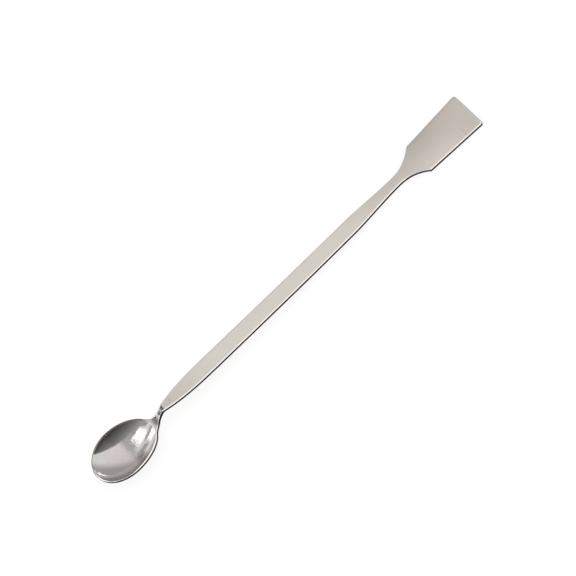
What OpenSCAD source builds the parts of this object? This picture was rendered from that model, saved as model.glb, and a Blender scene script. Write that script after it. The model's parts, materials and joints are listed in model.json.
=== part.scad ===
// Double-ended laboratory spatula, pressed from one strip of steel.
//
// The strip lies along X: the spoon bowl is at -X and the flat blade at +X.
// Z = 0 is the table. The underside of the bowl and the lower edge of the
// blade's end touch it, which is how the spatula lies when it is put down.

/* [Strip] */
// Length from the tip of the bowl to the end of the blade
overall_length = 200; // [160:1:260]
// Thickness of the strip
strip_t = 1.6; // [1.2:0.1:2]

/* [Bowl] */
// Outline of the bowl, from its widest point to its tip
bowl_tip_reach = 13.5; // [10:0.1:18]
// Outline of the bowl, from its widest point towards the neck
bowl_neck_reach = 15.8; // [12:0.1:20]
// Width of the bowl across its rim
bowl_w = 21; // [16:0.1:26]
// Depth of the hollow below the highest point of the rim
bowl_depth = 6; // [5:0.1:8]
// Thickness of the bowl under its deepest point
bowl_floor = 1.1; // [0.8:0.1:1.6]
// Height above the rim of the centre of the bowl's curve. A higher centre makes
// the walls lean out more at the rim
wall_lift = 6; // [4:0.5:8]
// Width of the rim at the bowl's sides and tip
rim_w = 0.5; // [0.4:0.05:1.4]
// Width of the rim where the hollow runs out towards the neck
neck_rim_w = 0.5; // [0.2:0.05:1.2]
// How far the rim stands out past the wall below it
rim_lip = 0.35; // [0.3:0.05:0.6]
// Radius of the rim's arch, seen from the side
rim_arch_r = 95; // [75:1:200]
// Distance from the bowl's widest point to the highest point of its rim, which is
// nearer to the tip
rim_peak = 7.5; // [0:0.5:10]

/* [Neck] */
// Width of the neck at its narrowest
neck_w = 2.3; // [2:0.1:4]
// Length of the neck's narrowest part
neck_straight = 0.9; // [0.3:0.1:4]
// Height of the handle above the highest point of the rim, where it leaves the neck
neck_lift = 1.4; // [0.5:0.1:3.5]
// Distance from the end of the bowl's outline to where the lower bend starts
foot_reach = 0.4; // [0.1:0.1:1.5]
// Distance along X that the two bends of the neck take up
neck_run = 6.7; // [6:0.1:10]
// Radius of the upper bend, on the outside of the strip
crown_r = 2.2; // [2.2:0.1:4]
// Radius of the lower bend, on the inside of the strip
foot_r = 0.6; // [0.4:0.1:3]

/* [Handle] */
// Width of the handle at its widest
handle_w = 7; // [5:0.1:9]
// Distance over which the handle widens from the neck
handle_swell = 28; // [15:1:40]
// Width of the handle where it starts to taper towards the blade
handle_taper_w = 6.7; // [5:0.1:9]
// Distance over which the handle tapers to its waist
handle_taper = 27; // [15:1:40]
// Width of the waist between handle and blade
waist_w = 4.4; // [3:0.1:6]
// Distance from the neck over which the handle is curved, seen from the side
handle_bend = 106; // [40:1:120]
// Downward slope of the handle where it leaves the neck, in degrees
handle_slope = 3.6; // [0:0.1:5]

/* [Blade] */
// Length of the blade and its concave flare, from the waist to the end
blade_reach = 39.2; // [30:0.1:60]
// Width of the blade at its shoulders
shoulder_w = 14.5; // [11:0.1:18]
// Width of the blade at its end
blade_end_w = 17.1; // [12:0.1:24]
// Radius of the concave flare on each side of the waist
flare_r = 17.3; // [12:0.1:24]
// Radius of the shoulder corners
shoulder_r = 1.2; // [0.4:0.1:2]
// Radius of the corners at the blade's end
corner_r = 1.1; // [0.4:0.1:2]
// Downward slope of the blade towards its end, in degrees
blade_slope = 1.3; // [0.8:0.1:2]

/* [Hidden] */

// Facets of a full circle, wherever a true circle is drawn.
$fn = 180;

// Places along X.
tip_x = -overall_length / 2;
bowl_x = tip_x + bowl_tip_reach;
peak_x = bowl_x - rim_peak;
bowl_end_x = bowl_x + bowl_neck_reach;
end_x = overall_length / 2;
waist_x = end_x - blade_reach;
taper_x = waist_x - handle_taper;
foot_x = bowl_end_x + foot_reach;
crown_x = foot_x + neck_run;

// Heights above the table.
rim_z = bowl_depth + bowl_floor;
crown_z = rim_z + neck_lift;
foot_z = rim_top(foot_x);

// The lower and upper bends of the neck are arcs, and a straight stretch
// touches both of them.
foot_slope = -asin((foot_x - peak_x) / rim_arch_r);
foot_centre = [foot_x, foot_z] + foot_r * normal(foot_slope);
crown_centre = [crown_x, crown_z] - crown_r * normal(-handle_slope);
bend_gap = crown_centre - foot_centre;
rise_slope = atan2(bend_gap.y, bend_gap.x) + asin((foot_r + crown_r) / norm(bend_gap));

// The handle curves from the upper bend to here, and is straight after it.
straight_x = crown_x + handle_bend;

// The neck's fillet leaves the bowl's outline at this angle round the bowl. It
// starts just inside that outline, in line with it, and ends in line with the neck.
junction_angle = 25;
junction_inset = 0.05;
junction = [
    bowl_x + bowl_neck_reach * cos(junction_angle) - junction_inset,
    bowl_w / 2 * sin(junction_angle) - junction_inset,
];
junction_slope = atan(bowl_w / 2 / bowl_neck_reach / tan(junction_angle));
fillet_r = (junction.y - neck_w / 2) / (1 - cos(junction_slope));
fillet_centre = [junction.x + fillet_r * sin(junction_slope), neck_w / 2 + fillet_r];

// The handle widens from here.
neck_x = fillet_centre.x + neck_straight;

// The blade's sides run straight from the shoulders to the end.
flare_centre = [waist_x, waist_w / 2 + flare_r];
side_run = blade_reach - sqrt(flare_r ^ 2 - (flare_centre.y - shoulder_w / 2) ^ 2);
side_slope = atan((blade_end_w - shoulder_w) / 2 / side_run);
corner_centre = [end_x - corner_r, inner_side(end_x - corner_r, corner_r)];
shoulder_centre = shoulder_round_centre();

// Steps along each curved stretch of an outline.
arc_steps = 8;
curve_steps = 16;

// Room beyond the steel for the solids that only cut or bound it.
margin = 5;

// How far the bowl's wall runs up into the strip. It's less than the rim stands
// out, so the wall stays inside the outline.
wall_overlap = 0.1;

// Unit normal, to the left of a line that climbs at this angle.
function normal(slope) = [-sin(slope), cos(slope)];

// Height of the rim's top above a place along X.
function rim_top(x) = rim_z - rim_arch_r + sqrt(rim_arch_r ^ 2 - (x - peak_x) ^ 2);

// Points along an arc from one angle to another.
function arc(centre, r, from, to, steps) = [
    for (i = [0:steps])
        let (a = from + (to - from) * i / steps)
            centre + r * [cos(a), sin(a)]
];

// [x, height, slope], at t from 0 to 1, on the cubic that leaves point a at one
// slope and reaches point b at another.
function cubic(a, slope_a, b, slope_b, t) =
    let (run = b.x - a.x, rise = b.y - a.y, ta = tan(slope_a), tb = tan(slope_b))
        [
            a.x + run * t,
            a.y + rise * t ^ 2 * (3 - 2 * t) + run * t * (1 - t) * (ta * (1 - t) - tb * t),
            atan(6 * rise / run * t * (1 - t) + ta * (1 - t) * (1 - 3 * t) - tb * t * (2 - 3 * t)),
        ];

// Height of the straight part's upper surface.
function straight_top(x) = strip_t / cos(blade_slope) + (end_x - x) * tan(blade_slope);

// The rim's arch, seen from the side, at a depth below the rim's top. It starts
// past the bowl's tip.
function rim_line(depth) =
    arc(
        [peak_x, rim_z - rim_arch_r], rim_arch_r - depth,
        90 + asin((peak_x - tip_x + margin) / rim_arch_r), 90 + foot_slope, curve_steps
    );

// The strip seen from the side, at a depth below its upper surface.
function side_line(depth) =
    let (
        foot_arc = arc(foot_centre, foot_r + depth, foot_slope - 90, rise_slope - 90, arc_steps),
        crown_arc = arc(
            crown_centre, crown_r - depth, rise_slope + 90, 90 - handle_slope, arc_steps
        ),
        handle_curve = [
            for (i = [1:curve_steps])
                let (
                    p = cubic(
                        [crown_x, crown_z], -handle_slope,
                        [straight_x, straight_top(straight_x)], -blade_slope, i / curve_steps
                    )
                )
                    [p.x, p.y] - depth * normal(p.z)
        ],
        blade_end = [end_x, straight_top(end_x) - depth / cos(blade_slope)]
    )
        concat(rim_line(depth), foot_arc, crown_arc, handle_curve, [blade_end]);

// Points of a list, last first.
function reversed(list) = [for (i = [len(list) - 1:-1:0]) list[i]];

// Half-width along a line set in from the blade's side.
function inner_side(x, inset) =
    blade_end_w / 2 - (end_x - x) * tan(side_slope) - inset / cos(side_slope);

// Centre of the shoulder's rounding, which touches the flare and the side.
function shoulder_round_centre() =
    let (
        m = tan(side_slope),
        reach = flare_r + shoulder_r,
        drop = flare_centre.y - inner_side(waist_x, shoulder_r),
        b = m * drop,
        run = (b + sqrt(b ^ 2 - (1 + m ^ 2) * (drop ^ 2 - reach ^ 2))) / (1 + m ^ 2)
    )
        [waist_x + run, inner_side(waist_x + run, shoulder_r)];

// The +Y half of the handle and blade, seen from above, from the bowl to the end.
function half_outline() =
    let (
        flare_end = atan2(
            shoulder_centre.y - flare_centre.y, shoulder_centre.x - flare_centre.x
        )
    )
        concat(
            arc(fillet_centre, fillet_r, -90 - junction_slope, -90, arc_steps),
            [
                for (i = [0:curve_steps])
                    let (t = i / curve_steps, share = 1 - (1 - t) ^ 3)
                        [
                            neck_x + handle_swell * t,
                            (neck_w + (handle_w - neck_w) * share) / 2,
                        ]
            ],
            [
                for (i = [0:curve_steps])
                    let (t = i / curve_steps, ease = (1 - cos(180 * t)) / 2)
                        [
                            taper_x + handle_taper * t,
                            (handle_taper_w + (waist_w - handle_taper_w) * ease) / 2,
                        ]
            ],
            [
                for (p = arc(flare_centre, flare_r, -90, flare_end, arc_steps))
                    if (p.x > waist_x)
                        p
            ],
            arc(shoulder_centre, shoulder_r, flare_end + 180, 90 + side_slope, arc_steps),
            arc(corner_centre, corner_r, 90 + side_slope, 0, arc_steps)
        );

// Half of an ellipse: the half on the -X side of its centre, or on the +X side.
module half_ellipse(reach, half_w, side) {
    intersection() {
        scale([reach, half_w])
            circle(r = 1);
        translate([side * reach, 0])
            square([2 * reach, 3 * half_w], center = true);
    }
}

// The whole outline, seen from above.
module outline() {
    half = half_outline();
    polygon(concat(half, [for (p = reversed(half)) [p.x, -p.y]]));
    translate([bowl_x, 0]) {
        half_ellipse(bowl_tip_reach, bowl_w / 2, -1);
        half_ellipse(bowl_neck_reach, bowl_w / 2, 1);
    }
}

// A side view, made solid over this width.
module across(w) {
    translate([0, w / 2, 0])
        rotate([90, 0, 0])
            linear_extrude(height = w)
                children();
}

// The strip, cut to its outline and bent.
module strip() {
    intersection() {
        linear_extrude(height = crown_z + margin)
            outline();
        across(bowl_w + blade_end_w)
            polygon(concat(side_line(0), reversed(side_line(strip_t))));
    }
}

// Half of an ellipsoid: the half on the -X side of its centre, or on the +X side.
module half_ellipsoid(reach, half_w, depth, side) {
    intersection() {
        scale([reach, half_w, depth])
            rotate([0, 90, 0])
                sphere(r = 1);
        translate([side * reach, 0, 0])
            cube([2 * reach, 3 * half_w, 3 * depth], center = true);
    }
}

// An ellipsoid's reach at the height of its centre, for its reach at a place
// that lies this far below its centre. Its lowest point is at the depth.
function centre_reach(reach, below, depth) = reach / sqrt(1 - (below / depth) ^ 2);

// How far the rim's arch has dropped, at this distance from the bowl's widest point.
function arch_drop(distance) = rim_z - rim_top(bowl_x + distance);

// An egg made of two half ellipsoids that meet at the bowl's widest point. Its
// centre is above the bowl. The reaches and the half-width are where it passes
// through the rim's arch, moved down until its top is at the height given.
module egg(tip_reach, neck_reach, half_w, top, bottom) {
    depth = top + wall_lift - bottom;
    centre_half_w = centre_reach(half_w, wall_lift + arch_drop(0), depth);
    translate([bowl_x, 0, top + wall_lift]) {
        half_ellipsoid(
            centre_reach(tip_reach, wall_lift + arch_drop(-tip_reach), depth),
            centre_half_w, depth, -1
        );
        half_ellipsoid(
            centre_reach(neck_reach, wall_lift + arch_drop(neck_reach), depth),
            centre_half_w, depth, 1
        );
    }
}

// The bowl below its rim, still solid.
module bowl_wall() {
    intersection() {
        egg(
            bowl_tip_reach - rim_lip, bowl_neck_reach - rim_lip, bowl_w / 2 - rim_lip,
            rim_z - strip_t, 0
        );
        across(bowl_w)
            polygon(
                concat(
                    rim_line(strip_t - wall_overlap),
                    [[foot_x, -margin], [tip_x - margin, -margin]]
                )
            );
    }
}

// What is pressed out of the bowl. It ends before the neck rises.
module hollow() {
    intersection() {
        egg(
            bowl_tip_reach - rim_w, bowl_neck_reach - neck_rim_w, bowl_w / 2 - rim_w,
            rim_z, bowl_floor
        );
        translate([tip_x, -bowl_w / 2, 0])
            cube([foot_x - tip_x, bowl_w, crown_z + margin]);
    }
}

module spatula() {
    color("silver")
        difference() {
            union() {
                strip();
                bowl_wall();
            }
            hollow();
        }
}

spatula();
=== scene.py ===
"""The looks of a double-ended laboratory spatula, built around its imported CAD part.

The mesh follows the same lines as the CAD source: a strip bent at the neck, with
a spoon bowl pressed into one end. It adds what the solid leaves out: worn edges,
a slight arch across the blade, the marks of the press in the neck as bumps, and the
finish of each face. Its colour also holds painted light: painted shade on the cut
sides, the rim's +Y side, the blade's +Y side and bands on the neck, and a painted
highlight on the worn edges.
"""

import json
import math

import bmesh
import bpy
import numpy as np
from mathutils import Matrix, Vector

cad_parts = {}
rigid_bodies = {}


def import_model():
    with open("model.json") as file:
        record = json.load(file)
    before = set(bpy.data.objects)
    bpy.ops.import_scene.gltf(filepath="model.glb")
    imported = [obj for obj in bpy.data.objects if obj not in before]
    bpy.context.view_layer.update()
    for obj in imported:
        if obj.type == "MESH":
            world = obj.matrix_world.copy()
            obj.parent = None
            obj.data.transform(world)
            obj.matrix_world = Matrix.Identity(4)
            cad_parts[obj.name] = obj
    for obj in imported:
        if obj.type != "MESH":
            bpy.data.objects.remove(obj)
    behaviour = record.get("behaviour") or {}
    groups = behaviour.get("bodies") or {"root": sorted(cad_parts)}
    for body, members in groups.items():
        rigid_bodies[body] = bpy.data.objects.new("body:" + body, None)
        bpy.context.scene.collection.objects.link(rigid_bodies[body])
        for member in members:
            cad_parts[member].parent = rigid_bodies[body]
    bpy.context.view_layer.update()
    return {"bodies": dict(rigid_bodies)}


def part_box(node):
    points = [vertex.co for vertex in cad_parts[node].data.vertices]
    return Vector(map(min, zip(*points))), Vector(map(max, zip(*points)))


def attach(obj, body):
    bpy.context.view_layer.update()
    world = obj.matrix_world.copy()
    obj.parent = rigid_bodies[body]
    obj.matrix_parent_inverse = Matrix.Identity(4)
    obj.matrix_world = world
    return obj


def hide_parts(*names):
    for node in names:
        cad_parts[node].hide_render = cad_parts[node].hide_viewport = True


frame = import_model()

MM = 0.001

# ---------------------------------------------------------------- sizes, in mm
box_low, box_high = (np.array(corner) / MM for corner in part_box("spatula"))
TIP_X = box_low[0]
END_X = box_high[0]
BOWL_W = box_high[1] - box_low[1]
CROWN_Z = box_high[2]

STRIP_T = 1.6

BOWL_TIP_REACH = 13.5
BOWL_NECK_REACH = 15.8
BOWL_DEPTH = 6
BOWL_FLOOR = 1.1
WALL_LIFT = 6
RIM_W = 0.5
NECK_RIM_W = 0.5
RIM_LIP = 0.35
RIM_ARCH_R = 95
RIM_PEAK = 7.5

NECK_W = 2.3
NECK_STRAIGHT = 0.9
FOOT_REACH = 0.4
NECK_RUN = 6.7
CROWN_R = 2.2
FOOT_R = 0.6
JUNCTION_ANGLE = 25

HANDLE_W = 7
HANDLE_SWELL = 28
HANDLE_TAPER_W = 6.7
HANDLE_TAPER = 27
WAIST_W = 4.4
HANDLE_BEND = 106
HANDLE_SLOPE = 3.6

BLADE_REACH = 39.2
SHOULDER_W = 14.5
BLADE_END_W = 17.1
FLARE_R = 17.3
SHOULDER_R = 1.2
CORNER_R = 1.1
BLADE_SLOPE = 1.3

# The upper edge is worn to a shallow bevel and a tight rounding. The numbers are
# the bevel's width, its drop and the rounding's radius. Round the bowl, the bevel
# takes up most of the rim. The rim's edge starts to turn into the strip's edge this
# far before the bowl's end.
STRIP_EDGE = (0.4, 0.18, 0.1)
RIM_EDGE = (0.34, 0.16, 0.08)
EDGE_LEAD = 2

# How far in the other edges are rounded: the underside's, where the bowl's wall
# meets the underside, and where the hollow meets the rim.
UNDER_EDGE = 0.3
WALL_EDGE = 0.12
HOLLOW_EDGE = 0.1

# The blade is arched across by this much, which comes in over this run.
BLADE_ARCH = 0.3
ARCH_RUN = 14

# The strip's lines are drawn this far past the blade's end.
OVERRUN = 1

# ---------------------------------------------------------------- mesh density
NECK_COLUMNS = 24
RIM_STEPS = 160
HOLLOW_RINGS = 44
WALL_RINGS = 36
BEVEL_ROWS = 3
EDGE_STEPS = 6
SIDE_STEPS = 3
LONGEST_STEP = 1.2
NECK_STEP = 0.16
LARGEST_TURN = 6

# How finely the side and plan lines are drawn before the mesh takes its points.
LINE_DETAIL = 200
BEND_DETAIL = 60
PLAN_DETAIL = 120
CORNER_DETAIL = 40
MEETING_TRIES = 30

# Places along the strip, and heights above the table.
BOWL_X = TIP_X + BOWL_TIP_REACH
PEAK_X = BOWL_X - RIM_PEAK
BOWL_END_X = BOWL_X + BOWL_NECK_REACH
FOOT_X = BOWL_END_X + FOOT_REACH
CROWN_X = FOOT_X + NECK_RUN
STRAIGHT_X = CROWN_X + HANDLE_BEND
WAIST_X = END_X - BLADE_REACH
TAPER_X = WAIST_X - HANDLE_TAPER
RIM_Z = BOWL_DEPTH + BOWL_FLOOR


def sin(degrees):
    return np.sin(np.radians(degrees))


def cos(degrees):
    return np.cos(np.radians(degrees))


def tan(degrees):
    return np.tan(np.radians(degrees))


def smooth(x, start, end):
    """Eases from 0 to 1 between two places."""
    t = np.clip((x - start) / (end - start), 0, 1)
    return t * t * (3 - 2 * t)


def arc(centre, r, start, end, steps):
    """Points along an arc, as an array of [x, y]."""
    angles = np.linspace(start, end, steps + 1)
    return np.array(centre) + r * np.stack([cos(angles), sin(angles)], axis=1)


# ------------------------------------------------------------------ side view
def rim_top(x):
    """Height of the rim's top, which is arched along the bowl."""
    return RIM_Z - RIM_ARCH_R + np.sqrt(RIM_ARCH_R**2 - (x - PEAK_X) ** 2)


def straight_top(x):
    """Height of the upper face where the strip is straight, towards the blade."""
    return STRIP_T / cos(BLADE_SLOPE) + (END_X - x) * tan(BLADE_SLOPE)


def handle_curve(steps):
    """The handle's upper face, from the crown to where it is straight."""
    t = np.linspace(0, 1, steps + 1)
    run = STRAIGHT_X - CROWN_X
    rise = straight_top(STRAIGHT_X) - CROWN_Z
    start, end = tan(-HANDLE_SLOPE), tan(-BLADE_SLOPE)
    ends = start * (1 - t) - end * t
    heights = CROWN_Z + rise * t**2 * (3 - 2 * t) + run * t * (1 - t) * ends
    return np.stack([CROWN_X + run * t, heights], axis=1)


def upper_line():
    """The strip's upper face seen from the side, as fine points [x, z]."""
    foot_slope = -math.degrees(math.asin((FOOT_X - PEAK_X) / RIM_ARCH_R))
    foot_centre = np.array([FOOT_X, rim_top(FOOT_X)])
    foot_centre += FOOT_R * np.array([-sin(foot_slope), cos(foot_slope)])
    crown_centre = np.array([CROWN_X, CROWN_Z])
    crown_centre -= CROWN_R * np.array([sin(HANDLE_SLOPE), cos(HANDLE_SLOPE)])
    gap = crown_centre - foot_centre
    rise_slope = math.degrees(
        math.atan2(gap[1], gap[0]) + math.asin((FOOT_R + CROWN_R) / np.hypot(*gap))
    )
    rim_x = np.linspace(TIP_X - RIM_LIP, FOOT_X, LINE_DETAIL)
    past_end = END_X + OVERRUN
    return np.concatenate(
        [
            np.stack([rim_x, rim_top(rim_x)], axis=1)[:-1],
            arc(foot_centre, FOOT_R, foot_slope - 90, rise_slope - 90, BEND_DETAIL),
            arc(crown_centre, CROWN_R, rise_slope + 90, 90 - HANDLE_SLOPE, BEND_DETAIL),
            handle_curve(LINE_DETAIL)[1:],
            [[past_end, straight_top(past_end)]],
        ]
    )


UPPER = upper_line()
SLOPES = np.gradient(UPPER, axis=0)
NORMALS = np.stack([-SLOPES[:, 1], SLOPES[:, 0]], axis=1)
NORMALS /= np.hypot(*NORMALS.T)[:, None]
LOWER = UPPER - STRIP_T * NORMALS


def arch(x, y):
    """How far the blade's arch lifts a place on it."""
    share = smooth(x, WAIST_X, WAIST_X + ARCH_RUN)
    return BLADE_ARCH * share * (1 - (2 * y / BLADE_END_W) ** 2)


def upper_z(x, y):
    """Height of the strip's upper face."""
    return np.interp(x, UPPER[:, 0], UPPER[:, 1]) + arch(x, y)


def lower_z(x, y):
    """Height of the strip's underside."""
    return np.interp(x, LOWER[:, 0], LOWER[:, 1]) + arch(x, y)


# ------------------------------------------------------------------ plan view
def blade_side(x, inset=0.0):
    """Half-width along a line set in from the blade's side, and its slope."""
    flare_y = WAIST_W / 2 + FLARE_R
    run = BLADE_REACH - math.sqrt(FLARE_R**2 - (flare_y - SHOULDER_W / 2) ** 2)
    slope = math.degrees(math.atan((BLADE_END_W - SHOULDER_W) / 2 / run))
    return BLADE_END_W / 2 - (END_X - x) * tan(slope) - inset / cos(slope), slope


def shoulder_centre():
    """Centre of the shoulder's rounding, which touches the flare and the side."""
    near, slope = blade_side(WAIST_X, SHOULDER_R)
    m = tan(slope)
    drop = WAIST_W / 2 + FLARE_R - near
    b = m * drop
    reach = FLARE_R + SHOULDER_R
    run = (b + math.sqrt(b**2 - (1 + m**2) * (drop**2 - reach**2))) / (1 + m**2)
    return np.array([WAIST_X + run, blade_side(WAIST_X + run, SHOULDER_R)[0]])


def bowl_reach(theta, tip_reach, neck_reach):
    """The reach of the half that each angle round the bowl belongs to."""
    return np.where(cos(theta) < 0, tip_reach, neck_reach)


def bowl_outline(theta):
    """The bowl's outline at angles round it, measured from the neck."""
    reach = bowl_reach(theta, BOWL_TIP_REACH, BOWL_NECK_REACH)
    return np.stack([BOWL_X + reach * cos(theta), BOWL_W / 2 * sin(theta)], axis=-1)


def bowl_normal(theta):
    """The outline's outward normal at those angles."""
    reach = bowl_reach(theta, BOWL_TIP_REACH, BOWL_NECK_REACH)
    normal = np.stack([cos(theta) / reach, sin(theta) / (BOWL_W / 2)], axis=-1)
    return normal / np.hypot(*normal.T)[:, None]


def half_outline():
    """The +Y side of the neck, handle and blade, as fine points [x, y]."""
    junction = bowl_outline(np.array(JUNCTION_ANGLE))
    slope = math.degrees(
        math.atan(BOWL_W / 2 / BOWL_NECK_REACH / tan(JUNCTION_ANGLE))
    )
    fillet_r = (junction[1] - NECK_W / 2) / (1 - cos(slope))
    fillet = [junction[0] + fillet_r * sin(slope), NECK_W / 2 + fillet_r]
    t = np.linspace(0, 1, PLAN_DETAIL)
    swell = (NECK_W + (HANDLE_W - NECK_W) * (1 - (1 - t) ** 3)) / 2
    ease = (1 - cos(180 * t)) / 2
    taper = (HANDLE_TAPER_W + (WAIST_W - HANDLE_TAPER_W) * ease) / 2
    neck_x = fillet[0] + NECK_STRAIGHT
    flare = [WAIST_X, WAIST_W / 2 + FLARE_R]
    shoulder = shoulder_centre()
    flare_end = math.degrees(math.atan2(shoulder[1] - flare[1], shoulder[0] - flare[0]))
    corner_y, side_slope = blade_side(END_X - CORNER_R, CORNER_R)
    return np.concatenate(
        [
            arc(fillet, fillet_r, -90 - slope, -90, PLAN_DETAIL),
            np.stack([neck_x + HANDLE_SWELL * t, swell], axis=1),
            np.stack([TAPER_X + HANDLE_TAPER * t, taper], axis=1),
            arc(flare, FLARE_R, -90, flare_end, PLAN_DETAIL)[1:],
            arc(shoulder, SHOULDER_R, flare_end + 180, 90 + side_slope, CORNER_DETAIL),
            arc([END_X - CORNER_R, corner_y], CORNER_R, 90 + side_slope, 0, CORNER_DETAIL),
        ]
    )


def spaced(line):
    """The line with as few points as its turns, its length and the neck need."""
    step = np.diff(line, axis=0)
    length = np.hypot(*step.T)
    heading = np.unwrap(np.arctan2(step[:, 1], step[:, 0]))
    turn = np.abs(np.gradient(np.degrees(heading)))
    middle = (line[1:, 0] + line[:-1, 0]) / 2
    longest = np.where(middle < CROWN_X + STRIP_T, NECK_STEP, LONGEST_STEP)
    cost = np.concatenate([[0], np.cumsum(length / longest + turn / LARGEST_TURN)])
    at = np.linspace(0, cost[-1], math.ceil(cost[-1]) + 1)
    return np.stack([np.interp(at, cost, line[:, i]) for i in (0, 1)], axis=1)


def outward(line):
    """Unit normals to the left of a line."""
    along = np.gradient(line, axis=0)
    across = np.stack([-along[:, 1], along[:, 0]], axis=1)
    return across / np.hypot(*across.T)[:, None]


# ----------------------------------------------------------------- mesh making
# The finish of each face: satin face, polished bowl, worn edge with a painted highlight,
# cut side with painted shade.
FINISHES = 4
FACE, BOWL, EDGE, SIDE = range(FINISHES)


class Skin:
    """A mesh as it grows: its points in mm, its faces and each face's finish."""

    def __init__(self):
        self.points = []
        self.faces = []
        self.finishes = []

    def add(self, points):
        """Adds points, and gives their numbers."""
        first = len(self.points)
        self.points.extend(np.asarray(points, float).reshape(-1, 3).tolist())
        return list(range(first, len(self.points)))

    def join(self, a, b, finish, closed=False):
        """Faces between two rows with as many points each."""
        ends = range(len(a)) if closed else range(len(a) - 1)
        for i in ends:
            j = (i + 1) % len(a)
            self.faces.append([a[i], a[j], b[j], b[i]])
            self.finishes.append(finish)

    def fan(self, centre, ring, finish):
        """Triangles from one point to a closed ring."""
        for i in range(len(ring)):
            self.faces.append([centre, ring[i], ring[(i + 1) % len(ring)]])
            self.finishes.append(finish)

    def made(self, name, material):
        """The finished object, in metres, with its finishes as a corner attribute."""
        mesh = bpy.data.meshes.new(name)
        mesh.from_pydata([[x * MM for x in p] for p in self.points], [], self.faces)
        mesh.materials.append(material)
        finish = mesh.attributes.new("finish", "FLOAT_COLOR", "CORNER")
        masks = np.eye(FINISHES)[:, 1:]
        rows = [[*masks[f], 1] for face, f in zip(self.faces, self.finishes) for _ in face]
        finish.data.foreach_set("color", np.array(rows, dtype=np.float32).ravel())
        shape = bmesh.new()
        shape.from_mesh(mesh)
        bmesh.ops.recalc_face_normals(shape, faces=shape.faces)
        shape.to_mesh(mesh)
        shape.free()
        mesh.shade_smooth()
        thing = bpy.data.objects.new(name, mesh)
        bpy.context.scene.collection.objects.link(thing)
        return thing


# How a rounded edge passes from one face to the other, slowly at first.
ROUND = (1 - np.cos(np.pi * np.arange(1, EDGE_STEPS) / EDGE_STEPS)) / 2


def rounded(a, corner, b):
    """Rows of points between a and b, round a corner."""
    return [(1 - t) ** 2 * a + 2 * t * (1 - t) * corner + t**2 * b for t in ROUND]


def edge_profile(bevel, drop, radius):
    """Rows round a worn upper edge, each as how far in and how far down it is."""
    t = np.linspace(0, 1, BEVEL_ROWS)
    start = np.stack([bevel * (1 - t) + radius, drop * t], axis=1)
    tilt = drop / bevel
    corner = np.array([0, drop + radius * tilt])
    end = np.array([0, drop + radius * tilt + radius])
    return np.array([*start, *rounded(start[-1], corner, end), end])


RIM_PROFILE = edge_profile(*RIM_EDGE)
STRIP_PROFILE = edge_profile(*STRIP_EDGE)


def profile(x):
    """The upper edge's rows at places along X, which change from rim to strip."""
    share = smooth(x, BOWL_END_X - EDGE_LEAD, CROWN_X)[None, :, None]
    return RIM_PROFILE[:, None] * (1 - share) + STRIP_PROFILE[:, None] * share


def raised(plan, height):
    """Points in plan, with the height that a function of x and y gives each."""
    return np.concatenate([plan, height(plan[:, :1], plan[:, 1:])], axis=1)


def egg(theta, alpha, tip_reach, neck_reach, half_w, depth, top):
    """Points on the lower half of an egg, alpha degrees up from its lowest point."""
    x = BOWL_X + bowl_reach(theta, tip_reach, neck_reach) * cos(theta) * sin(alpha)
    y = half_w * sin(theta) * sin(alpha)
    return np.stack([x, y, top - depth * cos(alpha)], axis=-1)


def alpha_at(theta, height, shape):
    """Where an egg's side meets a surface whose height depends on x."""
    *_, depth, top = shape
    alpha = np.full(theta.shape, 90.0)
    for _ in range(MEETING_TRIES):
        x, y, _ = egg(theta, alpha, *shape).T
        alpha = np.degrees(np.arccos(np.clip((top - height(x, y)) / depth, 0, 1)))
    return alpha


def egg_shape(tip_reach, neck_reach, half_w, top, bottom):
    """The egg that has these reaches where it passes through the rim's arch, moved
    down until its top is at the height given. Gives the reaches and the half-width
    at the height of its centre, its depth below that, and that height."""
    depth = top + WALL_LIFT - bottom

    def at_centre(reach, drop):
        return reach / math.sqrt(1 - (drop / depth) ** 2)

    def below(distance):
        return WALL_LIFT + RIM_Z - rim_top(BOWL_X + distance)

    return (
        at_centre(tip_reach, below(-tip_reach)),
        at_centre(neck_reach, below(neck_reach)),
        at_centre(half_w, below(0)),
        depth,
        top + WALL_LIFT,
    )


def angles_round():
    """Angles round the bowl: first across the neck, then round the free rim."""
    widest = sin(JUNCTION_ANGLE)
    across = np.degrees(np.arcsin(np.linspace(-widest, widest, NECK_COLUMNS + 1)))
    free = np.linspace(JUNCTION_ANGLE, 360 - JUNCTION_ANGLE, RIM_STEPS + 1)[1:-1]
    return np.concatenate([across, free])


def bowl_disc(skin, theta, shape, height, rim, edge, rings):
    """One side of the bowl: a pressed egg and the bend that leads to its rim.
    Gives the numbers of the rim's points."""
    top_alpha = alpha_at(theta, height, shape)
    corner = egg(theta, top_alpha, *shape)
    start = top_alpha - np.degrees(edge / shape[-2])
    rows = [egg(theta, start * i / rings, *shape) for i in range(1, rings + 1)]
    rows += rounded(rows[-1], corner, rim) + [rim]
    ring = skin.add(rows[0])
    skin.fan(skin.add(egg(np.zeros(1), np.zeros(1), *shape))[0], ring, BOWL)
    for number, row in enumerate(rows[1:], 1):
        following = skin.add(row)
        skin.join(ring, following, EDGE if number > rings + 1 else BOWL, True)
        ring = following
    return ring


def strip_rows(skin, ring, ends, height):
    """The strip's face on one side, from the bowl's ring to the blade's end.
    Gives each row's numbers."""
    first = np.array([skin.points[i] for i in ring[: NECK_COLUMNS + 1]])
    across = first[:, 1] / first[-1, 1]
    bulge = first[:, 0] - first[-1, 0]
    rows = [ring[: NECK_COLUMNS + 1]]
    for x, half_w in ends[1:]:
        left = np.clip((CROWN_X - x) / (CROWN_X - ends[0][0]), 0, 1)
        plan = np.stack([x + bulge * left, half_w * across], axis=1)
        rows.append(skin.add(raised(plan, height)))
        skin.join(rows[-2], rows[-1], FACE)
    return rows


def around(free, low_side, end, high_side):
    """What goes once round the object: the free rim, the -Y side, the blade's end
    and the +Y side. The sides run from the bowl to the end."""
    return [*free, *low_side[1:], *end[1:], *high_side[-2:0:-1]]


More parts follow.
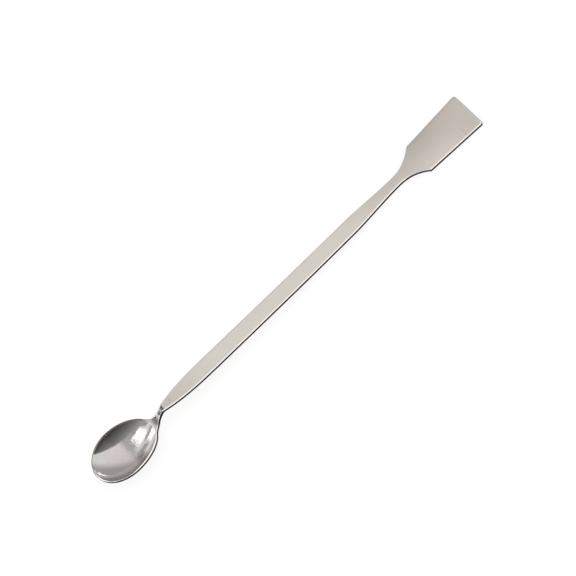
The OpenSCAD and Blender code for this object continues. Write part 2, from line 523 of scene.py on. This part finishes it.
def round_trip(ring, rows):
    """The points' numbers once round the outline of one face."""
    free = ring[NECK_COLUMNS:] + ring[:1]
    return around(free, [row[0] for row in rows], rows[-1], [row[-1] for row in rows])


def bowl_shapes():
    """The eggs of the bowl's hollow and of its wall."""
    hollow = egg_shape(
        BOWL_TIP_REACH - RIM_W, BOWL_NECK_REACH - NECK_RIM_W, BOWL_W / 2 - RIM_W,
        RIM_Z, BOWL_FLOOR,
    )
    wall = egg_shape(
        BOWL_TIP_REACH - RIM_LIP, BOWL_NECK_REACH - RIM_LIP, BOWL_W / 2 - RIM_LIP,
        RIM_Z - STRIP_T, 0,
    )
    return hollow, wall


def upper_inset(x):
    """How far inside the outline the upper face ends, at places along X."""
    return profile(x)[0, :, :1]


def under_inset(x):
    """How far inside the outline the underside ends, which is the same all along."""
    return np.full((len(x), 1), UNDER_EDGE)


def once_round(outline, out, side, normal):
    """The outline once round the object, and its outward normals."""
    across = outline[: NECK_COLUMNS + 1, 1] / outline[NECK_COLUMNS, 1]
    end = np.stack([np.full(len(across), END_X), side[-1, 1] * across], axis=1)
    end_normal = np.tile([1.0, 0.0], (len(end), 1))
    free = [*range(NECK_COLUMNS, len(outline)), 0]
    mirror = [1, -1]
    plan = around(outline[free], side * mirror, end, side)
    normals = around(out[free], normal * mirror, end_normal, normal)
    return np.array(plan), np.array(normals)


def cut_side(skin, upper_loop, under_loop, plan, normals):
    """The worn upper edge, the cut side and the rounded lower edge, which join the
    loops of the two faces."""
    under = np.array([skin.points[i] for i in under_loop])
    under_corner = raised(plan, lower_z)
    low = under_corner + [0, 0, UNDER_EDGE]
    rows = []
    for number, step in enumerate(profile(plan[:, 0])[1:], 1):
        row = raised(plan - step[:, :1] * normals, upper_z) - step[:, 1:] * [0, 0, 1]
        rows.append((row, EDGE if number < BEVEL_ROWS else SIDE))
    high = rows[-1][0]
    rows += [(high + (low - high) * i / SIDE_STEPS, SIDE) for i in range(1, SIDE_STEPS)]
    rows += [(low, SIDE)] + [(row, SIDE) for row in rounded(low, under_corner, under)]
    loop = upper_loop
    for row, finish in rows:
        following = skin.add(row)
        skin.join(loop, following, finish, True)
        loop = following
    skin.join(loop, under_loop, SIDE, True)


def spatula(material):
    """The whole spatula, as one closed skin."""
    skin = Skin()
    theta = angles_round()
    outline, out = bowl_outline(theta), bowl_normal(theta)
    side = spaced(half_outline())
    normal = outward(side)
    side[0], normal[0] = outline[NECK_COLUMNS], out[NECK_COLUMNS]
    normal[-1] = [1, 0]
    hollow, wall = bowl_shapes()
    loops = []
    for shape, height, inset, inner, rings in (
        (hollow, upper_z, upper_inset, HOLLOW_EDGE, HOLLOW_RINGS),
        (wall, lower_z, under_inset, WALL_EDGE, WALL_RINGS),
    ):
        rim = raised(outline - inset(outline[:, 0]) * out, height)
        ring = bowl_disc(skin, theta, shape, height, rim, inner, rings)
        rows = strip_rows(skin, ring, side - inset(side[:, 0]) * normal, height)
        loops.append(round_trip(ring, rows))
    cut_side(skin, *loops, *once_round(outline, out, side, normal))
    return skin.made("spatula_steel", material)


# ------------------------------------------------------------------- materials
class Nodes:
    """Short names for the nodes of a material or a world."""

    def __init__(self, tree):
        self.tree = tree

    def add(self, kind, **settings):
        """A node of this kind, with these settings."""
        node = self.tree.nodes.new("ShaderNode" + kind)
        for name, value in settings.items():
            setattr(node, name, value)
        return node

    def set(self, socket, value):
        """Links a socket to an output, or gives it a plain value."""
        if isinstance(value, bpy.types.NodeSocket):
            self.tree.links.new(value, socket)
        else:
            socket.default_value = value

    def math(self, operation, *values):
        """The result of one operation on these values."""
        node = self.add("Math", operation=operation)
        for socket, value in zip(node.inputs, values):
            self.set(socket, value)
        return node.outputs["Value"]

    def times(self, *values):
        """The product of several values."""
        product = values[0]
        for value in values[1:]:
            product = self.math("MULTIPLY", product, value)
        return product

    def plus(self, *values):
        """The sum of several values."""
        total = values[0]
        for value in values[1:]:
            total = self.math("ADD", total, value)
        return total

    def ease(self, value, start, end, low=0.0, high=1.0):
        """Eases from low to high while the value goes from start to end."""
        node = self.add("MapRange", interpolation_type="SMOOTHSTEP")
        for name, item in (
            ("Value", value),
            ("From Min", start),
            ("From Max", end),
            ("To Min", low),
            ("To Max", high),
        ):
            self.set(node.inputs[name], item)
        return node.outputs["Result"]

    def window(self, value, low, high, soft):
        """1 between low and high, and 0 outside, with soft ends."""
        rise = self.ease(value, low - soft / 2, low + soft / 2)
        fall = self.ease(value, high - soft / 2, high + soft / 2, 1.0, 0.0)
        return self.times(rise, fall)

    def mix(self, share, a, b):
        """From one number to another."""
        node = self.add("Mix", data_type="FLOAT")
        for socket, value in zip(node.inputs[:1] + node.inputs[2:4], (share, a, b)):
            self.set(socket, value)
        return node.outputs[0]

    def blend(self, share, a, b):
        """From one colour to another."""
        node = self.add("Mix", data_type="RGBA")
        for socket, value in zip(node.inputs[:1] + node.inputs[6:8], (share, a, b)):
            self.set(socket, value)
        return node.outputs[2]

    def noise(self, place, scale, stretch, detail, roughness):
        """Noise with this many waves in a metre, stretched along the axes."""
        mapping = self.add("Mapping")
        self.set(mapping.inputs["Vector"], place)
        mapping.inputs["Scale"].default_value = stretch
        node = self.add("TexNoise")
        self.set(node.inputs["Vector"], mapping.outputs["Vector"])
        node.inputs["Scale"].default_value = scale
        node.inputs["Detail"].default_value = detail
        node.inputs["Roughness"].default_value = roughness
        return node.outputs["Fac"]


WHITE = (1, 1, 1, 1)
SATIN = (0.735, 0.72, 0.68, 1)
POLISHED = (0.625, 0.60, 0.60, 1)
# A painted highlight on the worn edges, brighter than steel itself.
EDGE_PAINTED_HIGHLIGHT = (0.98, 0.97, 0.955, 1)
# Painted shade on the rim's +Y side.
FAR_RIM_PAINTED_SHADE = (0.2, 0.195, 0.19, 1)
# Painted shade on the cut sides, near black.
SIDE_PAINTED_SHADE = (0.045, 0.043, 0.04, 1)
# A darker tone for the blade, the handle next to the neck and the scratch, which is also
# painted shade along the blade's +Y side.
DARK_TONE_AND_PAINTED_SHADE = (0.1, 0.04, 0.02, 1)
# Painted shade at the foot of the neck's slope.
FOOT_PAINTED_SHADE = (0.38, 0.38, 0.38, 1)
# Painted shade in bands on the neck, and its dark spots.
NECK_PAINTED_SHADE_AND_SPOTS = (0.09, 0.09, 0.08, 1)
# A darker tint for the cut sides' reflection, part of their painted shade.
SIDE_SHADE_TINT = (0.35, 0.35, 0.35, 1)

# Each noise: its waves in a metre, its stretch along the axes, its detail and its
# roughness.
GRAIN = (9000, (0.02, 1, 1), 3, 0.5)
CLOUD = (160, (0.5, 1, 1), 3, 0.5)
SCUFF = (1800, (1, 0.5, 1), 1.5, 0.55)
SPECKLE = (2400, (1, 0.5, 1), 2, 0.7)
DENTS = (1100, (1.3, 0.8, 1), 2, 0.6)
NOISE_MIDDLE = 0.5

# Stretches of the object, in mm. Each window has its start, its end and how soft
# its ends are.
SCRATCH_X = (92.3, 92.7, 0.2)
SCRATCH_Y = (-7.8, -3.6, 0.8)
SLOPE_X = (FOOT_X - 0.2, CROWN_X + 0.3, 0.4)
# Where the foot of the neck's slope has painted shade.
FOOT_SHADE_X = (FOOT_X - 0.2, FOOT_X + 2.6, 0.4)
# Where the neck has bands of painted shade, and its dark spots.
TOP_BAND_X = (CROWN_X - 0.8, CROWN_X + 0.15, 0.4)
LOW_BAND_X = (CROWN_X - 3.1, CROWN_X - 1.9, 0.5)
SPOTS_X = (CROWN_X - 2.2, CROWN_X + 4.5, 1.5)

# Each change has its start and its end, in mm, and the values there, which are 0
# and 1 where they aren't given.
BLADE_DARKENING_X = (20, 72)
# Painted shade: how much darker the blade gets towards +Y, for each mm.
SHADE_LEAN_X = (78, 98, 0.02, 0)
NECK_DARKENING_X = (CROWN_X, CROWN_X + 28, 0.14, 0)
LOW_BAND_Y = (-0.6, 0.6, 1, 0)
# Where the rim's +Y side has painted shade.
FAR_RIM_SHADE_X = (FOOT_X, FOOT_X + 3, 1, 0)
FAR_RIM_SHADE_Y = (-1, 5)
SPECKLE_X = (BOWL_X - 8, BOWL_X + 4, 0.12, 0.4)

# How much darker the blade is, and how much its scratch is stained.
BLADE_DARKENING = 0.19
SCRATCH_DULL = 0.12

# What the noises do: two of their values, and what they lead to there. The bands'
# wander is in mm.
BAND_WANDER = (0.3, 0.7, -0.35, 0.35)
SPOT_SHARE = (0.5, 0.62, 0, 0.3)
CLOUD_TONE = (0.3, 0.7, 0.965, 1.0)
GRAIN_TONE = (0.2, 0.8, -0.015, 0.015)
CLOUD_ROUGH = (0.3, 0.7, -0.02, 0.02)
GRAIN_ROUGH = (0.2, 0.8, -0.04, 0.04)
SCUFF_ROUGH = (0.3, 0.8, -0.03, 0.05)

FACE_ROUGH = 0.3
SLOPE_ROUGH = 0.16
BOWL_ROUGH = 0.08
EDGE_ROUGH = 0.15
SIDE_ROUGH = 0.4

# Heights of the bumps, in metres. Two of them change along X.
GRAIN_HEIGHT = 3e-6
SLOPE_HEIGHT = 4e-4
SCUFF_HEIGHT_X = (BOWL_X - 5, BOWL_X + 5, 1e-5, 4e-5)
DENT_HEIGHT_X = (CROWN_X - 4.4, CROWN_X - 2.8, 4e-4, 0)


def painted_shade_and_darkening(nodes, x, y):
    """How much a face is darkened. The blade is darker than the handle, and darker
    still along its +Y side, which is painted shade; it has a faint scratch across.
    The handle is darker again next to the neck."""
    level = nodes.plus(BLADE_DARKENING, nodes.times(y, nodes.ease(x, *SHADE_LEAN_X)))
    blade = nodes.times(nodes.ease(x, *BLADE_DARKENING_X), level)
    neck = nodes.ease(x, *NECK_DARKENING_X)
    scratch = nodes.times(nodes.window(x, *SCRATCH_X), nodes.window(y, *SCRATCH_Y))
    return nodes.plus(blade, neck, nodes.times(scratch, SCRATCH_DULL))


def neck_shade_and_spots(nodes, x, y, dents):
    """Where the neck's slope is darkened: painted shade in a band at its top and a
    second one below it towards -Y, and dark spots that go on into the handle."""
    rough_x = nodes.plus(x, nodes.ease(dents, *BAND_WANDER))
    top_band = nodes.window(rough_x, *TOP_BAND_X)
    low_band = nodes.times(nodes.window(rough_x, *LOW_BAND_X), nodes.ease(y, *LOW_BAND_Y))
    spots = nodes.times(nodes.window(x, *SPOTS_X), nodes.ease(dents, *SPOT_SHARE))
    return nodes.math("MAXIMUM", nodes.math("MAXIMUM", top_band, low_band), spots)


def steel():
    """Stainless steel: satin faces, a polished bowl, edges with a painted highlight, cut
    sides with painted shade.
    """
    material = bpy.data.materials.new("steel")
    material.use_nodes = True
    nodes = Nodes(material.node_tree)
    shader = material.node_tree.nodes["Principled BSDF"]
    place = nodes.add("TexCoord").outputs["Object"]
    split = nodes.add("SeparateXYZ")
    nodes.set(split.inputs["Vector"], place)
    x, y = (nodes.times(split.outputs[n], 1 / MM) for n in "XY")
    masks = nodes.add("SeparateColor")
    finish = nodes.add("Attribute", attribute_name="finish")
    nodes.set(masks.inputs["Color"], finish.outputs["Color"])
    in_bowl, on_edge, on_side = (masks.outputs[n] for n in ("Red", "Green", "Blue"))
    grain, cloud, scuff, speckle, dents = (
        nodes.noise(place, *noise) for noise in (GRAIN, CLOUD, SCUFF, SPECKLE, DENTS)
    )
    on_slope = nodes.window(x, *SLOPE_X)

    # The colour. The edges have a painted highlight, apart from the rim's +Y side, which
    # has painted shade.
    # Darker blade and neck, with painted shade along the blade's +Y side.
    face = nodes.blend(painted_shade_and_darkening(nodes, x, y), SATIN, DARK_TONE_AND_PAINTED_SHADE)
    # Painted shade at the foot of the neck's slope and in bands on it, and dark spots.
    face = nodes.blend(nodes.window(x, *FOOT_SHADE_X), face, FOOT_PAINTED_SHADE)
    face = nodes.blend(neck_shade_and_spots(nodes, x, y, dents), face, NECK_PAINTED_SHADE_AND_SPOTS)
    far_rim_shade = nodes.times(nodes.ease(x, *FAR_RIM_SHADE_X), nodes.ease(y, *FAR_RIM_SHADE_Y))
    edge = nodes.blend(far_rim_shade, EDGE_PAINTED_HIGHLIGHT, FAR_RIM_PAINTED_SHADE)
    colour = nodes.blend(in_bowl, face, POLISHED)
    colour = nodes.blend(on_edge, colour, edge)
    # Painted shade on the cut sides.
    colour = nodes.blend(on_side, colour, SIDE_PAINTED_SHADE)
    centred = nodes.plus(speckle, -NOISE_MIDDLE)
    speckled = nodes.times(in_bowl, nodes.ease(x, *SPECKLE_X), centred)
    tone = nodes.plus(
        nodes.ease(cloud, *CLOUD_TONE), nodes.ease(grain, *GRAIN_TONE), speckled
    )
    toned = nodes.add("VectorMath", operation="SCALE")
    nodes.set(toned.inputs[0], colour)
    nodes.set(toned.inputs["Scale"], tone)
    nodes.set(shader.inputs["Base Color"], toned.outputs["Vector"])
    # The cut sides' reflection is tinted darker, part of their painted shade.
    tint = nodes.blend(on_side, WHITE, SIDE_SHADE_TINT)
    nodes.set(shader.inputs["Specular Tint"], tint)
    shader.inputs["Metallic"].default_value = 1

    rough = nodes.plus(
        FACE_ROUGH, nodes.ease(grain, *GRAIN_ROUGH), nodes.ease(cloud, *CLOUD_ROUGH)
    )
    rough = nodes.mix(on_slope, rough, SLOPE_ROUGH)
    bowl_rough = nodes.plus(BOWL_ROUGH, nodes.ease(scuff, *SCUFF_ROUGH))
    rough = nodes.mix(in_bowl, rough, bowl_rough)
    rough = nodes.mix(on_edge, rough, EDGE_ROUGH)
    rough = nodes.mix(on_side, rough, SIDE_ROUGH)
    nodes.set(shader.inputs["Roughness"], rough)

    bump = nodes.add("Bump")
    bump.inputs["Strength"].default_value = 1
    bump.inputs["Distance"].default_value = 1
    scuffed = nodes.times(scuff, nodes.ease(x, *SCUFF_HEIGHT_X))
    height = nodes.mix(in_bowl, nodes.times(grain, GRAIN_HEIGHT), scuffed)
    outside_bowl = nodes.math("SUBTRACT", 1, in_bowl)
    slope_marks = nodes.times(on_slope, outside_bowl, dents, SLOPE_HEIGHT)
    dent = nodes.ease(x, *DENT_HEIGHT_X)
    nodes.set(bump.inputs["Height"], nodes.plus(height, slope_marks, dent))
    nodes.set(shader.inputs["Normal"], bump.outputs["Normal"])
    return material


piece = spatula(steel())
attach(piece, list(frame["bodies"])[0])
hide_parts("spatula")


# ----------------------------------------------------------------------- stage
# The floor and the light above it, in metres and watts.
FLOOR_W = 6
FLOOR_COLOUR = (0.9, 0.9, 0.9, 1)
FLOOR_ROUGH = 0.9
FLOOR_SHINE = 0.1
WHITE_SHARE = 0.85
SOFTBOX_W = 2.4
SOFTBOX_Z = 1.6
SOFTBOX_POWER = 22

# The room, in degrees from straight up: across to +X, and away to +Y. Each change
# has its start and its end, and the values there.
ROOM_START = -70
ROOM_SPREAD = 36
ROOM_LEVEL = (-5, 15, 0.125, 0.16)
ROOM_MOST = 0.5
ROOM_LOW = (70, 92, 1, 0.55)
CEILING_LEFT = (-9.5, -7.5)
CEILING_NEAR = (-35, -32)
CEILING_SLANT = 0.45
CEILING_LEVEL = (-35, 40, 1.02, 0.9)
CEILING_FADE = (35, 80, 0, -0.4)
TINTED_ACROSS = (25, 60)
TINTED_AWAY = (-10, 20, 1, 0)

ROOM_TINT = (1, 1, 0.97, 1)
CEILING_TINT = (1.02, 0.98, 0.96, 1)
RIGHT_TINT = (0.985, 1, 0.94, 1)

# Three glows and two lamps at the left: their sides across, their ends away, how
# soft their edges are, their level, and how far their ends slant.
LEFT_LAMPS = (
    (-22, -9, -24, 60, 6, 0.6, 0),
    (-30, -13, 30, 54, 8, 0.95, 0),
    (-60, -36, 7, 27, 10, 1.05, 0),
    (-39, -19, 3, 46, 5, 1.75, 0.4),
    (-50, -30, 75, 120, 4, 1.75, 0.8),
)

# A lamp near the horizon, at the far right: windows from straight up, across and
# away, and its level.
LOW_LAMP_DOWN = (82, 91, 3)
LOW_LAMP_ACROSS = (42, 84, 6)
LOW_LAMP_AWAY = (22, 78, 8)
LOW_LAMP_LEVEL = 1.7


def seen_directly(nodes):
    """1 for what the camera sees, also in metal and through glass."""
    path = nodes.add("LightPath").outputs
    seen = nodes.math("MAXIMUM", path["Is Camera Ray"], path["Is Glossy Ray"])
    return nodes.math("MAXIMUM", seen, path["Is Transmission Ray"])


def floor():
    """A pale floor that looks white and keeps the object's shadow."""
    material = bpy.data.materials.new("floor")
    material.use_nodes = True
    nodes = Nodes(material.node_tree)
    shader = material.node_tree.nodes["Principled BSDF"]
    shader.inputs["Base Color"].default_value = FLOOR_COLOUR
    shader.inputs["Roughness"].default_value = FLOOR_ROUGH
    shader.inputs["Specular IOR Level"].default_value = FLOOR_SHINE
    mix = nodes.add("MixShader")
    nodes.set(mix.inputs["Fac"], nodes.times(seen_directly(nodes), WHITE_SHARE))
    nodes.set(mix.inputs[1], shader.outputs["BSDF"])
    nodes.set(mix.inputs[2], nodes.add("Emission").outputs["Emission"])
    out = material.node_tree.nodes["Material Output"]
    nodes.set(out.inputs["Surface"], mix.outputs["Shader"])
    bpy.ops.mesh.primitive_plane_add(size=FLOOR_W)
    thing = bpy.context.object
    thing.name = "floor"
    thing.data.materials.append(material)


def left_lamps(nodes, light, across, away):
    """The light with the glows and lamps at the left laid over it."""
    for left, right, near, far, soft, level, slant in LEFT_LAMPS:
        slanted = nodes.plus(away, nodes.times(across, -slant))
        lamp = nodes.times(
            nodes.window(across, left, right, soft), nodes.window(slanted, near, far, soft)
        )
        light = nodes.mix(lamp, light, level)
    return light


def studio():
    """The room that the steel reflects. The camera itself sees white."""
    world = bpy.data.worlds.new("studio")
    bpy.context.scene.world = world
    world.use_nodes = True
    nodes = Nodes(world.node_tree)
    direction = nodes.add("SeparateXYZ")
    nodes.set(direction.inputs["Vector"], nodes.add("TexCoord").outputs["Generated"])
    x, y, z = (direction.outputs[n] for n in "XYZ")
    from_up = nodes.times(nodes.math("ARCCOSINE", z), 180 / math.pi)
    flat = nodes.math("SQRT", nodes.plus(nodes.times(x, x), nodes.times(y, y)))
    across, away = (nodes.times(nodes.math("DIVIDE", v, flat), from_up) for v in (x, y))

    # The dark side is towards the camera, and is a little lighter at the right.
    from_start = nodes.times(nodes.plus(away, -ROOM_START), 1 / ROOM_SPREAD)
    side = nodes.times(nodes.math("EXPONENT", from_start), nodes.ease(across, *ROOM_LEVEL))
    room = nodes.times(
        nodes.math("MINIMUM", side, ROOM_MOST), nodes.ease(from_up, *ROOM_LOW)
    )

    # A wide ceiling light with sharp near and left ends, which fades to the far right.
    slanted = nodes.plus(away, nodes.times(across, CEILING_SLANT))
    ceiling = nodes.times(
        nodes.ease(across, *CEILING_LEFT), nodes.ease(slanted, *CEILING_NEAR)
    )
    level = nodes.plus(
        nodes.ease(away, *CEILING_LEVEL),
        nodes.ease(nodes.plus(across, away), *CEILING_FADE),
    )
    light = left_lamps(nodes, nodes.mix(ceiling, room, level), across, away)
    low_lamp = nodes.times(
        nodes.window(from_up, *LOW_LAMP_DOWN),
        nodes.window(across, *LOW_LAMP_ACROSS),
        nodes.window(away, *LOW_LAMP_AWAY),
    )
    light = nodes.mix(low_lamp, light, LOW_LAMP_LEVEL)

    direct = nodes.add("LightPath").outputs["Is Camera Ray"]
    background = world.node_tree.nodes["Background"]
    nodes.set(background.inputs["Strength"], nodes.mix(direct, light, 1.0))
    right = nodes.times(
        nodes.ease(across, *TINTED_ACROSS), nodes.ease(away, *TINTED_AWAY)
    )
    tint = nodes.blend(ceiling, ROOM_TINT, nodes.blend(right, CEILING_TINT, RIGHT_TINT))
    nodes.set(background.inputs["Color"], nodes.blend(direct, tint, WHITE))


def softbox():
    """A wide light overhead, for the floor. It isn't reflected in the steel."""
    data = bpy.data.lights.new("softbox", "AREA")
    data.shape = "SQUARE"
    data.size = SOFTBOX_W
    data.energy = SOFTBOX_POWER
    thing = bpy.data.objects.new("softbox", data)
    thing.location = (0, 0, SOFTBOX_Z)
    thing.visible_glossy = False
    bpy.context.scene.collection.objects.link(thing)


floor()
studio()
softbox()

# ---------------------------------------------------------------------- camera
# Angles in degrees, the sensor in mm, and the rest in metres. The shifts move what
# the camera aims at within its view.
ELEVATION = 64
ROLL = 45.35
VIEW_W = 0.2204
DISTANCE = 1.5
AIM = Vector((0, 0, 0.004))
SHIFT_RIGHT = 0.0019744
SHIFT_UP = 0.0017984
SENSOR_W = 36
CLIP_START = 0.05
CLIP_END = 20


def make_camera():
    """The camera, which looks towards +Y and down, and is rolled about its axis."""
    data = bpy.data.cameras.new("camera")
    data.sensor_width = SENSOR_W
    data.lens = SENSOR_W * DISTANCE / VIEW_W
    data.clip_start = CLIP_START
    data.clip_end = CLIP_END
    thing = bpy.data.objects.new("camera", data)
    bpy.context.scene.collection.objects.link(thing)
    ahead = Vector((0, cos(ELEVATION), -sin(ELEVATION)))
    level_up = Vector((0, sin(ELEVATION), cos(ELEVATION)))
    level_right = Vector((1, 0, 0))
    right = level_right * cos(ROLL) - level_up * sin(ROLL)
    up = level_right * sin(ROLL) + level_up * cos(ROLL)
    target = AIM + right * SHIFT_RIGHT + up * SHIFT_UP
    turn = Matrix((right, up, -ahead)).transposed().to_4x4()
    thing.matrix_world = Matrix.Translation(target - ahead * DISTANCE) @ turn
    bpy.context.scene.camera = thing


make_camera()
bpy.context.scene.view_settings.view_transform = "Standard"
